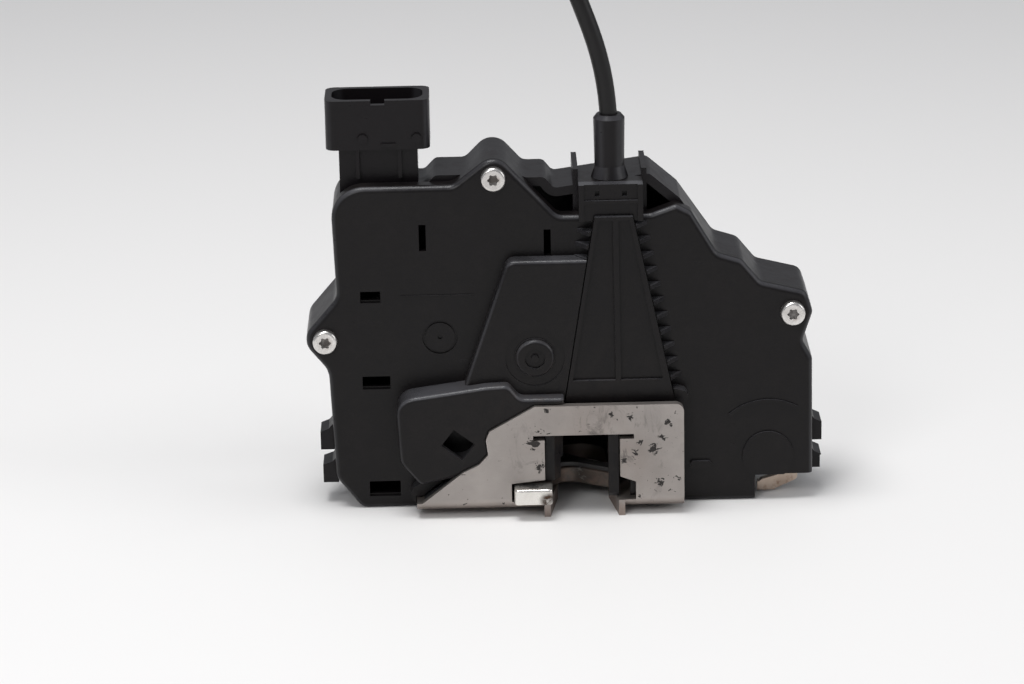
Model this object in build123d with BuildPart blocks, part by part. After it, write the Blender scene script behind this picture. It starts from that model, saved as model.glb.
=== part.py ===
"""Power side-door latch actuator: a steel fishmouth face plate with its claw and pawl, a moulded
housing with the lock motor standing behind it, and the inside-handle cable leaving at the top.

Millimetres. X runs across the face plate, Y away from the striker entry, Z up out of the plate.
The origin is the seated striker's centre line in the plate's outer face.
"""

import os
from math import asin, atan2, cos, radians, sin, tan

from build123d import *

os.makedirs("parts", exist_ok=True)

# ---- clearances -------------------------------------------------------------------------------
gap = 0.3            # between pieces that lie side by side
seat_gap = 0.02      # radial, a pin held in its hole
run_gap = 0.05       # radial, a piece that turns on a pin

# ---- sheet steel ------------------------------------------------------------------------------
sheet = 2.2
plate_left, plate_right = -41.0, 24.4
flange_y = -34.0         # outer face of the upright flange
plate_back = 19.0
flange_top = 26.7
bend_r = 1.0
slot_half = 6.3          # striker slot
slot_end = 8.0
funnel_half = 8.4        # its mouth in the flange
funnel_depth = 13.0
lip_drop = 1.8           # rolled edge of the slot below the plate
lip_wall = 1.5
mouth_left, mouth_right, mouth_top = -9.6, 8.8, 18.0
relief = 1.2             # slots above the bent mouth edges
ear_wall = 2.2           # mouth edges bent inwards
ear_depth = 3.0

# ---- moulded housing --------------------------------------------------------------------------
cover_y = -25.0          # main outer face of the cover
mid_step = 4.5           # raised lever section over the main face
boss_step = 8.0          # raised boss round the square hole
rim = 4.5                # depth of the cover's skirt
seam_y = cover_y + rim
wall = 2.2
base_z = -lip_drop
panel_top = 80.3
tray_top = 81.8
corner_r = 1.8
shoulder_r = 8.0
edge_r = 1.5             # rolled outer edges of both halves
step_r = 1.1             # rolled edges of the raised sections

# ---- latch block ------------------------------------------------------------------------------
block_top = 21.5
block_left, block_right = plate_left + 0.6, plate_right - 0.2
block_front = flange_y + sheet
block_back = plate_back - 0.4
block_wall = 2.4

# ---- claw and pawl ----------------------------------------------------------------------------
claw_x, claw_y = -18.0, -12.0
claw_hub_r = 9.5
claw_t = 4.1
claw_z = sheet + 0.15
claw_tip_y = flange_y - 3.3
throat_r = 4.6
jacket_t = 1.4
pin_r = 3.0
rivet_r = 4.6
rivet_h = 1.2
pawl_x, pawl_y = 15.0, -1.0
pawl_swing = 22.0        # turned clear of the claw's legs
pawl_hub_r = 3.9
pawl_pin_r = 2.2
spring_wire = 1.1
bridge_z = claw_z + claw_t + 2 * spring_wire + 0.45
bridge_t = 1.5

# ---- fixings ----------------------------------------------------------------------------------
fixings = [(-34.0, -20.0), (18.0, -26.0), (18.0, 12.0)]
thread_r = 3.0
collar_r = 4.4
collar_h = 4.5
bolt_room = 14.0         # free length over the plate for the fixing screws

# ---- housing screws ---------------------------------------------------------------------------
screws = [(-62.5, 41.8), (-20.8, 82.0), (51.5, 46.6)]
lug_feet = [((-61.9, 33.8), (-59.4, 52.4)), ((-30.6, panel_top), (-5.4, 72.2))]
lug_r = 4.6
head_r = 3.0
head_h = 2.0
shank_r = 1.4
screw_length = 16.0

# ---- levers and drive in the housing ----------------------------------------------------------
lever_t = 2.0
lever_y = -19.6          # front face of both release levers
lever_pin_r = 2.0
lever_hub_r = 5.4
inside_x, inside_z = -11.5, 37.8
outside_x, outside_z = 45.5, 9.8
wheel_x, wheel_z = -34.5, 42.2
wheel_r = 11.5
wheel_teeth = 24
tooth_h = 1.0
wheel_t = 6.0
drive_y = seam_y + 7.0   # middle of the worm wheel and axis of the motor
wheel_y = drive_y - wheel_t / 2
worm_r = 2.8
motor_r = 7.4
motor_len = 20.0
lead_t = 0.9
lead_y = drive_y + motor_r + gap + 0.1
rear_y = lead_y + lead_t + 0.1 + wall
rear_depth = rear_y - seam_y

# ---- cable ------------------------------------------------------------------------------------
cable_x, cable_y = 7.4, seam_y
cable_r = 2.12
ferrule_r = 3.8
ferrule_neck_r = 3.0
ferrule_top = 96.4
tower_half = 7.75
tower_z, tower_top = 72.0, 80.7
tower_y = -28.0
wire_r = 0.75
nipple_r = 2.25
nipple_len = 5.0
wire_travel = 6.6

# ---- connector --------------------------------------------------------------------------------
plug_x, plug_y = -48.4, -14.0
plug_w, plug_d = 25.2, 14.0
plug_wall = 1.6
plug_base, plug_h = 88.6, 12.2
plug_top = plug_base + plug_h
neck_w, neck_d = 19.0, 9.4
blade_w, blade_t, blade_pitch = 1.5, 0.64, 3.4
blade_up = 4.6           # above the floor of the socket

# ---- cable flap -------------------------------------------------------------------------------
flap_front = cover_y - mid_step
flap_t = 2.0
flap_top, flap_base = 72.9, 26.2
flap_outline = [(3.4, flap_top), (-4.3, flap_base), (22.4, flap_base), (12.6, flap_top)]
flap_rim = 2.4
rib_pitch = 3.86
rib_count = 11
rib_t, rib_reach = 1.0, 2.9

# ---- details of the cover's face --------------------------------------------------------------
key_x, key_z = -30.7, 16.9
key_w, key_h, key_turn = 5.2, 6.4, 52.0
windows = [(-38.2, 67.4, 1.7, 6.6), (-8.0, 65.6, 1.7, 6.6), (-51.2, 52.9, 4.9, 2.4), (-50.3, 31.0, 6.8, 2.8),
           (-48.9, 3.5, 7.6, 3.4)]
ear_t = 1.3              # thin walls beside the cable seat
arc_r = 14.6             # raised arc round the outside pivot
clip_h, clip_depth = 5.4, 7.5


def upright(y):
    """Plane facing the viewer at depth y; its local axes are X and Z."""
    return Plane.XZ.offset(-y)


def level(z):
    return Plane.XY.offset(z)


def polygon(*points):
    """Face through the points, to place in any sketch."""
    with BuildSketch() as face:
        with BuildLine():
            Polyline(*points, close=True)
        make_face()
    return face.sketch


def hull(*circles):
    """Outline stretched round circles given as (x, y, radius)."""
    with BuildSketch() as outline:
        for x, y, r in circles:
            with Locations((x, y)):
                Circle(r)
        make_hull()
    return outline.sketch


# ---- outlines in X and Z ----------------------------------------------------------------------
def lug_corner(screw, foot, next_foot):
    """Where the two straight flanks of a screw lug meet: each runs from a foot and touches the
    lug's round end, so the corner rounded by lug_r is centred on the screw."""
    flanks = []
    for (x, z), side in ((foot, 1), (next_foot, -1)):
        across, rise = screw[0] - x, screw[1] - z
        reach = (across ** 2 + rise ** 2) ** 0.5
        slope = atan2(rise, across) + side * asin(lug_r / reach)
        flanks.append((x, z, cos(slope), sin(slope)))
    (x1, z1, a1, b1), (x2, z2, a2, b2) = flanks
    along = ((x2 - x1) * b2 - (z2 - z1) * a2) / (a1 * b2 - b1 * a2)
    return x1 + along * a1, z1 + along * b1, lug_r


# corners clockwise from the lower left, each with its rounding
left_side = [(-54.7, base_z, 2.5), (-60.8, 6.0, 4.0), (*lug_feet[0][0], 6.0), lug_corner(screws[0], *lug_feet[0]),
             (*lug_feet[0][1], 4.0), (-60.3, panel_top, shoulder_r)]
right_side = [(33.2, 61.9, 3.0), (39.2, 60.0, 3.0), (43.8, 54.4, 2.5), (54.8, 51.7, 2.6), (56.5, 46.4, 2.4),
              (54.0, 39.0, 2.4), (56.4, 34.6, 2.4), (56.6, base_z, corner_r)]
cover_ridge = [(*lug_feet[1][0], 4.0), lug_corner(screws[1], *lug_feet[1]), (*lug_feet[1][1], 3.0),
               (17.0, 72.2, 2.5), (23.3, 74.4, corner_r), (27.0, 72.4, corner_r)]
tray_ridge = [(-37.5, 79.0, corner_r), (-34.8, tray_top, corner_r), (-27.5, tray_top, 2.5),
              lug_corner(screws[1], (-27.5, tray_top), (-13.5, tray_top - 1.0)), (-13.5, tray_top - 1.0, 2.5),
              (-8.4, tray_top - 1.0, corner_r), (-6.2, 78.0, corner_r), (17.0, tray_top - 0.6, corner_r),
              (24.4, 74.8, corner_r)]


def silhouette(ridge):
    """Whole outline of the housing with its screw lugs."""
    corners = [*left_side, *ridge, *right_side]
    with BuildSketch() as outline:
        with BuildLine():
            FilletPolyline(*[(x, z) for x, z, _ in corners], radius=[r for _, _, r in corners], close=True)
        make_face()
    return outline.sketch


def bays():
    """Room for the latch block, and the notch below the outside lever."""
    with BuildSketch() as outline:
        with Locations((plate_left - gap, base_z - 1)):
            Rectangle(plate_right - plate_left + 2 * gap, block_top + gap - base_z + 1,
                      align=(Align.MIN, Align.MIN))
        with Locations((outside_x - 3.2, base_z - 1)):
            Rectangle(20, 4.9 - base_z + 1, align=(Align.MIN, Align.MIN))
    return outline.sketch


def panel(ridge):
    """Outline of the housing, open over the latch block and round the outside lever."""
    with BuildSketch() as outline:
        add(silhouette(ridge))
        add(bays(), mode=Mode.SUBTRACT)
    return outline.sketch


def ring(x, z, outer, inner):
    with BuildSketch() as outline:
        with Locations((x, z)):
            Circle(outer)
            Circle(inner, mode=Mode.SUBTRACT)
    return outline.sketch


def lever_bay():
    """Room round the outside lever, open below and at the side."""
    with BuildSketch() as outline:
        with Locations((outside_x, outside_z)):
            Circle(lever_hub_r + 2 * gap)
        with Locations((outside_x - 3.2, base_z - 1)):
            Rectangle(20, 9.0 - base_z, align=(Align.MIN, Align.MIN))
    return outline.sketch


def flange_outline():
    with BuildSketch() as outline:
        add(polygon((plate_left, 0), (-40.1, 1.9), (-29.7, 10.0), (-25.7, 12.0), (-23.4, 14.5),
                    (-23.9, 18.3), (-23.0, 20.5), (-11.9, flange_top), (plate_right, flange_top),
                    (plate_right, 0)))
        fillet(outline.vertices().sort_by(lambda v: v.X + v.Y)[-1], 2.0)
    return outline.sketch


def mid_outline():
    """Raised section over the inside lever and the cable."""
    with BuildSketch() as outline:
        add(polygon((-29.6, flap_base + 2.2), (-17.8, 62.3), (1.6, 62.3), (3.4, flap_top), (12.6, flap_top),
                    (22.4, flap_base), (-29.6, flap_base)))
        fillet(outline.vertices().sort_by(lambda v: v.X - v.Y)[0:1], 2.5)
    return outline.sketch


def steel_room():
    """Flange and plate edge, widened by the gap."""
    with BuildSketch() as outline:
        offset(flange_outline(), amount=gap)
        with Locations((plate_left - gap, sheet + gap)):
            Rectangle(80, 20, align=(Align.MIN, Align.MAX))
    return outline.sketch


def boss_outline():
    """Raised boss round the square hole, cut back round the steel flange."""
    corners = [(-29.0, 9.0, 0.5), (-40.0, 6.6, 1.5), (-44.8, 12.4, 5.0), (-45.6, 28.6, 4.5), (-23.8, 31.6, 2.0),
               (-18.2, 31.9, 2.4), (-15.4, 28.4, 2.4), (-4.6, 28.4, 0.5), (-4.6, 20.0, 0.5)]
    with BuildSketch() as outline:
        with BuildLine():
            FilletPolyline(*[(x, z) for x, z, _ in corners], radius=[r for _, _, r in corners], close=True)
        make_face()
        add(steel_room(), mode=Mode.SUBTRACT)
    return outline.sketch


# ---- latch steelwork --------------------------------------------------------------------------
def slot_outline(spread=0.0):
    """Striker slot in the plate, funnelled at the flange, widened all round by spread."""
    half, mouth = slot_half + spread, funnel_half + spread
    with BuildSketch() as outline:
        add(polygon((-mouth, flange_y - 6), (-mouth, flange_y), (-half, flange_y + funnel_depth),
                    (-half, slot_end - slot_half), (half, slot_end - slot_half),
                    (half, flange_y + funnel_depth), (mouth, flange_y), (mouth, flange_y - 6)))
        with Locations((0, slot_end - slot_half)):
            Circle(half)
    return outline.sketch


with BuildPart() as face_plate:
    with BuildSketch(level(0)) as blank:
        with Locations((plate_left, flange_y)):
            Rectangle(plate_right - plate_left, plate_back - flange_y, align=(Align.MIN, Align.MIN))
        fillet(blank.vertices().group_by(Axis.Y)[-1], 4.0)
    extrude(amount=sheet)
    with BuildSketch(upright(flange_y)):
        add(flange_outline())
    extrude(amount=-sheet)
    fillet(face_plate.edges().filter_by(Axis.X).group_by(Axis.Z)[0].sort_by(Axis.Y)[0], bend_r + sheet)
    inner = face_plate.edges().filter_by(Axis.X).filter_by_position(Axis.Z, sheet - 0.01, sheet + 0.01)
    fillet(inner.sort_by(SortBy.LENGTH)[-1], bend_r)
    # mouth and claw window in the flange, its side edges bent inwards
    with BuildSketch(upright(flange_y - 1)):
        add(polygon((mouth_left - ear_wall - 0.6, mouth_top + relief), (mouth_right + ear_wall + 1.2, mouth_top + relief),
                    (mouth_right + ear_wall + 1.2, mouth_top), (mouth_right, mouth_top), (mouth_right, 8.3),
                    (mouth_right + 3.8, 6.9), (mouth_right + 3.8, sheet), (claw_x + 0.2, sheet),
                    (claw_x + 0.2, claw_z + claw_t + 0.5), (mouth_left, 7.8), (mouth_left, mouth_top),
                    (mouth_left - ear_wall - 0.6, mouth_top)))
    extrude(amount=-sheet - bend_r - 2, mode=Mode.SUBTRACT)
    for edge_x, side, foot in ((mouth_left, -1, 7.8), (mouth_right, 1, 8.3)):
        with BuildSketch(level(foot)):
            with Locations((edge_x + side * ear_wall / 2, flange_y + (sheet + ear_depth) / 2)):
                Rectangle(ear_wall, sheet + ear_depth)
        extrude(amount=mouth_top - foot)
    # rolled edge under the slot
    with BuildSketch(level(-lip_drop)):
        add(slot_outline(lip_wall))
        with Locations((0, flange_y)):
            Rectangle(40, 12, align=(Align.CENTER, Align.MAX), mode=Mode.SUBTRACT)
    extrude(amount=lip_drop + sheet)
    with BuildSketch(level(-lip_drop - 1)):
        add(slot_outline())
    extrude(amount=lip_drop + sheet + 1, mode=Mode.SUBTRACT)
    with Locations((claw_x, claw_y, sheet)):
        Hole(pin_r + seat_gap, depth=sheet + 1)
    with Locations((pawl_x, pawl_y, sheet)):
        Hole(pawl_pin_r + seat_gap, depth=sheet + 1)
    with Locations(*[(x, y, sheet) for x, y in fixings]):
        Hole(thread_r + gap, depth=sheet + 1)

with BuildPart() as fixing_collars:
    with BuildSketch(level(sheet)):
        with Locations(*fixings):
            Circle(collar_r)
            Circle(thread_r, mode=Mode.SUBTRACT)
    extrude(amount=collar_h)

with BuildPart() as latch_block:
    with BuildSketch(upright(block_front)):
        offset(flange_outline(), amount=-gap)
        with Locations((0, block_top)):
            Rectangle(200, 60, align=(Align.CENTER, Align.MIN), mode=Mode.SUBTRACT)
        with Locations((0, sheet)):
            Rectangle(200, 60, align=(Align.CENTER, Align.MAX), mode=Mode.SUBTRACT)
    extrude(amount=block_front - cover_y)
    with BuildSketch(level(sheet)) as footprint:
        with Locations((block_left, cover_y)):
            Rectangle(block_right - block_left, block_back - cover_y, align=(Align.MIN, Align.MIN))
        fillet(footprint.vertices().group_by(Axis.Y)[-1], 3.0)
    extrude(amount=block_top - sheet)
    toe = latch_block.edges().filter_by(Axis.X).group_by(Axis.Z)[0].sort_by(Axis.Y)[0]
    chamfer(toe, bend_r + 0.1)
    # room for the claw and the pawl between the plate and the bridge
    with BuildSketch(level(sheet)):
        with Locations((claw_x - claw_hub_r - 1.0, block_front + block_wall)):
            Rectangle(block_right - block_wall - claw_x + claw_hub_r + 1.0, block_back - block_front - 2 * block_wall,
                      align=(Align.MIN, Align.MIN))
        with Locations((claw_x + 0.2, block_front - 1)):
            Rectangle(6.0 - claw_x - 0.2, 6, align=(Align.MIN, Align.MIN))
    extrude(amount=claw_t + 0.6, mode=Mode.SUBTRACT)
    with BuildSketch(level(sheet)):
        with Locations((claw_x - claw_hub_r - 1.0, block_front + block_wall)):
            Rectangle(block_right - block_wall - claw_x + claw_hub_r + 1.0, block_back - block_front - 2 * block_wall,
                      align=(Align.MIN, Align.MIN))
    extrude(amount=bridge_z + bridge_t + rivet_h + gap - sheet, mode=Mode.SUBTRACT)
    # bent mouth edges of the flange, striker channel
    with BuildSketch(level(sheet)):
        with Locations((mouth_left - ear_wall / 2, block_front), (mouth_right + ear_wall / 2, block_front)):
            Rectangle(ear_wall + 2 * gap, 2 * (ear_depth + gap))
    extrude(amount=mouth_top + gap - sheet, mode=Mode.SUBTRACT)
    with BuildSketch(level(sheet)):
        add(polygon((-7.8, block_front - 1), (-5.0, block_front + 3.5), (-5.0, slot_end + 1), (6.0, slot_end + 1),
                    (6.0, block_front - 1)))
    extrude(amount=mouth_top + relief - sheet, mode=Mode.SUBTRACT)
    with BuildSketch(level(sheet)):
        with Locations(*fixings):
            Circle(collar_r + gap)
    extrude(amount=collar_h + gap, mode=Mode.SUBTRACT)
    with BuildSketch(level(sheet)):
        with Locations(*fixings):
            Circle(thread_r + gap)
    extrude(amount=bolt_room, mode=Mode.SUBTRACT)


def leg_tip(reach_x, reach_y):
    return claw_x + reach_x, claw_y + reach_y


throat_x, throat_y = leg_tip(10.2, -5.5)
outer_x, outer_y = leg_tip(25.0, -14.5)


def claw_outline():
    """Open position: leg 1 points out of the flange, leg 2 lies across the slot."""
    with BuildSketch() as outline:
        add(polygon((claw_x + 0.8, claw_y), (claw_x + 0.8, claw_tip_y), (throat_x, claw_tip_y), (throat_x, throat_y),
                    (outer_x, outer_y), (outer_x + 2.2, outer_y + 4.6), (2.0, -18.2), (-6.0, -11.0),
                    (claw_x + 5.0, claw_y + 7.0)))
        with Locations((claw_x, claw_y)):
            Circle(claw_hub_r)
        corner = outline.vertices().sort_by_distance((throat_x, throat_y))[0]
        fillet(corner, throat_r)
        tips = outline.vertices().sort_by(Axis.Y)[0:2]
        fillet(tips, 1.0)
        fillet(outline.vertices().sort_by(Axis.X)[-2:], 0.8)
    return outline.sketch


with BuildPart() as claw:
    with BuildSketch(level(claw_z)):
        add(claw_outline())
        with Locations((claw_x, claw_y)):
            Circle(pin_r + run_gap, mode=Mode.SUBTRACT)
    extrude(amount=claw_t)
    fillet(claw.faces().sort_by(Axis.Y)[0].edges(), 0.6)

with BuildPart() as claw_jacket:
    with BuildSketch(level(claw_z + claw_t)):
        offset(claw_outline(), amount=-0.8)
        with Locations((0, block_front + block_wall + gap)):
            Rectangle(90, 30, align=(Align.CENTER, Align.MAX), mode=Mode.SUBTRACT)
        with Locations((claw_x, claw_y)):
            Circle(6.2, mode=Mode.SUBTRACT)
    extrude(amount=spring_wire - 0.1)

with BuildPart() as bridge_plate:
    with BuildSketch(level(bridge_z)):
        add(hull((claw_x, claw_y, 8.0), (claw_x, 10.0, 5.0)))
        add(hull((claw_x, 10.6, 4.4), (pawl_x, 10.6, 4.4)))
        add(hull((pawl_x, pawl_y, 5.0), (pawl_x, 10.6, 4.4)))
        with Locations((0, slot_end + 1)):
            Rectangle(2 * slot_half + 1.4, 60, align=(Align.CENTER, Align.MAX), mode=Mode.SUBTRACT)
        with Locations((claw_x, claw_y)):
            Circle(pin_r + seat_gap, mode=Mode.SUBTRACT)
        with Locations((pawl_x, pawl_y)):
            Circle(pawl_pin_r + seat_gap, mode=Mode.SUBTRACT)
    extrude(amount=bridge_t)


def rivet(x, y, r, head):
    with BuildPart() as pin:
        with BuildSketch(level(0)):
            with Locations((x, y)):
                Circle(r)
        extrude(amount=bridge_z + bridge_t)
        with BuildSketch(level(bridge_z + bridge_t)):
            with Locations((x, y)):
                Circle(head)
        extrude(amount=rivet_h)
        chamfer(pin.edges().group_by(Axis.Z)[-1], 0.4)
    return pin.part


def wound(centre, axis, ring_r, radial, leg):
    """Closed two-turn torsion spring; its straight leg leaves the second turn at the radial side."""
    with BuildPart() as spring:
        for turn in range(2):
            with BuildSketch(Plane(origin=centre + axis * (turn * spring_wire), x_dir=radial,
                                   z_dir=radial.cross(axis))):
                with Locations((ring_r, 0)):
                    Circle(spring_wire / 2)
            revolve(axis=Axis(centre, axis))
        with BuildSketch(Plane(origin=centre + axis * spring_wire + radial * ring_r, z_dir=leg)):
            Circle(spring_wire / 2)
        extrude(amount=leg.length)
    return spring.part


claw_pin = rivet(claw_x, claw_y, pin_r, rivet_r)
pawl_pin = rivet(pawl_x, pawl_y, pawl_pin_r, rivet_r - 0.8)
spring_z = claw_z + claw_t + 0.1 + spring_wire / 2
claw_ring, pawl_ring = 4.6, 3.4
claw_spring = wound(Vector(claw_x, claw_y, spring_z), Vector(0, 0, 1), claw_ring, Vector(0, 1, 0),
                    Vector(-claw_hub_r - 0.9, 0, 0))
pawl_spring = wound(Vector(pawl_x, pawl_y, spring_z), Vector(0, 0, 1), pawl_ring, Vector(0, 1, 0),
                    Vector(block_right - block_wall - 0.1 - pawl_x, 0, 0))

released = Plane(origin=(pawl_x, pawl_y, claw_z), x_dir=Vector(1, 0, 0).rotate(Axis.Z, pawl_swing))
with BuildPart() as pawl:
    with BuildSketch(released) as blade:
        add(polygon((-3.4, -1.0), (-4.8, -14.0), (-6.4, -15.7), (-11.1, -16.3), (-11.1, -17.5), (-5.6, -18.2),
                    (-1.0, -17.6), (3.2, -2.0)))
        Circle(pawl_hub_r)
        Circle(pawl_pin_r + run_gap, mode=Mode.SUBTRACT)
    extrude(amount=claw_t)

with BuildPart() as striker_bumper:
    with BuildSketch(level(bridge_z + bridge_t + rivet_h + gap + 0.4)) as pad:
        with Locations((0.5, slot_end + 1 - gap / 2)):
            Rectangle(10.4, 3.2, align=(Align.CENTER, Align.MAX))
        fillet(pad.vertices().group_by(Axis.Y)[0], 1.4)
    extrude(amount=6.2)

# ---- housing ----------------------------------------------------------------------------------
with BuildPart() as rear_housing:
    with BuildSketch(upright(seam_y)):
        add(silhouette(tray_ridge))
    extrude(amount=-rear_depth)
    fillet(rear_housing.faces().sort_by(Axis.Y)[-1].outer_wire().edges(), edge_r)
    with BuildSketch(upright(seam_y)):
        add(bays())
    extrude(amount=-rear_depth, mode=Mode.SUBTRACT)
    with BuildSketch(upright(seam_y + wall + 2.6)):
        with Locations((cable_x, tower_z - 4)):
            Rectangle(2 * tower_half + 2.4, tower_top - tower_z + 4.0, align=(Align.CENTER, Align.MIN))
    extrude(amount=wall + 2.6)
    # tray
    with BuildSketch(upright(seam_y)) as tray:
        offset(panel(tray_ridge), amount=-wall)
        with Locations((cable_x, tower_z - 4)):
            Rectangle(2 * tower_half + 2.4, 30, align=(Align.CENTER, Align.MIN), mode=Mode.SUBTRACT)
    extrude(amount=wall - rear_depth, mode=Mode.SUBTRACT)
    # ears beside the cable seat, snap clips on both sides
    with BuildSketch(upright(seam_y)):
        for side in (-1, 1):
            with Locations((cable_x + side * (tower_half + 1.2 - ear_t / 2), tower_z)):
                Rectangle(ear_t, tower_top + 1.9 - tower_z, align=(Align.CENTER, Align.MIN))
    extrude(amount=wall - rear_depth)
    with BuildSketch(upright(seam_y)):
        for side_x, out, low in ((-61.2, -3.4, 12.2), (-60.4, -3.8, 3.6), (56.2, 2.9, 12.0), (56.2, 2.8, 3.6)):
            add(polygon((side_x, low), (side_x + out, low), (side_x + out, low + clip_h - 0.8),
                        (side_x + 0.4 * out, low + clip_h), (side_x, low + clip_h + 1.6)))
    extrude(amount=-clip_depth)
    # screw columns, axle posts
    with BuildSketch(upright(seam_y)):
        with Locations(*screws):
            Circle(lug_r - 1.0)
    extrude(amount=wall - rear_depth - 0.2)
    with BuildSketch(upright(lever_y + lever_t + gap)):
        with Locations((inside_x, inside_z), (outside_x, outside_z)):
            Circle(4.2)
    extrude(amount=lever_y + lever_t + gap - rear_y + 0.2)
    with BuildSketch(upright(wheel_y - 1.5)):
        with Locations((wheel_x, wheel_z)):
            Circle(lever_pin_r)
    extrude(amount=wheel_y - 1.5 - rear_y + 0.2)
    with BuildSketch(upright(wheel_y + wheel_t + lever_t + 2 * gap)):
        with Locations((wheel_x, wheel_z)):
            Circle(4.2)
    extrude(amount=wheel_y + wheel_t + lever_t + 2 * gap - rear_y + 0.2)
    with BuildSketch(upright(cover_y + wall)):
        add(lever_bay())
    extrude(amount=cover_y + wall - lever_y - lever_t - gap, mode=Mode.SUBTRACT)
    # bores
    with Locations(*[Location(upright(seam_y) * Location((x, z, 0))) for x, z in screws]):
        Hole(shank_r + seat_gap, depth=screw_length)
    with Locations(*[Location(upright(lever_y) * Location((x, z, 0)))
                     for x, z in ((inside_x, inside_z), (outside_x, outside_z))]):
        Hole(lever_pin_r + seat_gap, depth=11)
    # plug neck and cable seat
    with BuildSketch(level(tower_z)):
        with Locations((plug_x, plug_y)):
            Rectangle(neck_w + 2 * seat_gap, neck_d + 2 * seat_gap)
    extrude(amount=panel_top - tower_z + 4, mode=Mode.SUBTRACT)
    with BuildSketch(level(tower_z - 10)):
        with Locations((cable_x, cable_y)):
            Circle(wire_r + 0.7)
    extrude(amount=12, mode=Mode.SUBTRACT)
    with BuildSketch(level(tower_z + 1)):
        with Locations((cable_x, cable_y)):
            Circle(ferrule_neck_r + seat_gap)
    extrude(amount=12, mode=Mode.SUBTRACT)
    with BuildSketch(level(tower_z + 3)):
        with Locations((cable_x, cable_y)):
            Circle(ferrule_neck_r + 1.0 + seat_gap)
    extrude(amount=2.5, mode=Mode.SUBTRACT)


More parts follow.
